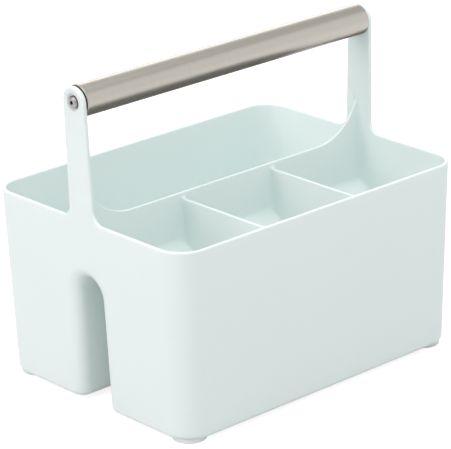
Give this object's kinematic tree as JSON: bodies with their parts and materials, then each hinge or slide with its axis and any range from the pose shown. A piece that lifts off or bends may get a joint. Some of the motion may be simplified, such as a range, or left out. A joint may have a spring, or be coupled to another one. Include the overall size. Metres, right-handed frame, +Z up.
{
  "type": "cleaning caddy",
  "caption": "Rectangular open tub with one long and several short compartments, an arched slot beneath, and a turning metal tube grip held between upright posts.",
  "frame": {"origin": "on the ground, under the centre of the tub", "axes": "+X along the tub and its grip, from the left post to the right; +Y across it towards the long undivided compartment; +Z up"},
  "size_m": [0.2878, 0.2126, 0.2496],
  "materials": {
    "mint_plastic": "fine satin mould texture",
    "brushed_steel": "satin, brushed round the tube",
    "plug_plastic": "dark moulded nylon",
    "insert_brass": "turned",
    "screw_steel": "plain stainless",
    "foot_rubber": "matt, soft"
  },
  "bodies": {
    "caddy": {"tub": "mint_plastic", "left_end_plug": "plug_plastic", "left_threaded_insert": "insert_brass", "left_handle_screw": "screw_steel", "right_end_plug": "plug_plastic", "right_threaded_insert": "insert_brass", "right_handle_screw": "screw_steel", "foot_front_left": "foot_rubber", "foot_front_right": "foot_rubber", "foot_back_left": "foot_rubber", "foot_back_right": "foot_rubber"},
    "grip": {"grip_tube": "brushed_steel"}
  },
  "joints": [
    {"name": "grip_turn", "type": "hinge", "parent": "caddy", "child": "grip", "pos_m": [0, 0, 0.2375], "axis": [1, 0, 0], "continuous": true}
  ]
}
